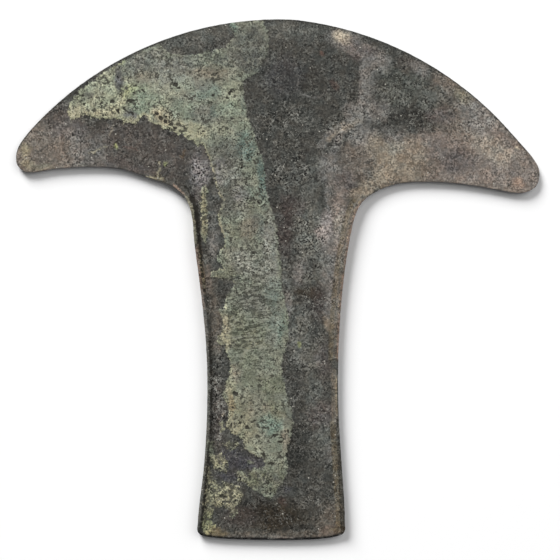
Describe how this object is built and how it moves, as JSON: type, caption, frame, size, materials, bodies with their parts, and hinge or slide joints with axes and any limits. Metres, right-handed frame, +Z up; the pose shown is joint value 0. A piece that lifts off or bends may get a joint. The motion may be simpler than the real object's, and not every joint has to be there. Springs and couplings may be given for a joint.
{
  "type": "axe money",
  "caption": "Thin T-shaped blank of hammered copper with a broad crescent blade and a waisted stem with raised rims, patinated green, grey and brown.",
  "frame": {"origin": "middle of the overall width and length, on the surface that the rims of the stem lie on", "axes": "+Z up, out of the front face; +Y along the stem towards the cutting edge; +X towards the right horn"},
  "size_m": [0.1502, 0.1494, 0.0029],
  "materials": {
    "copper": "patinated"
  },
  "bodies": {
    "root": {"axe_money": "copper"}
  },
  "joints": []
}
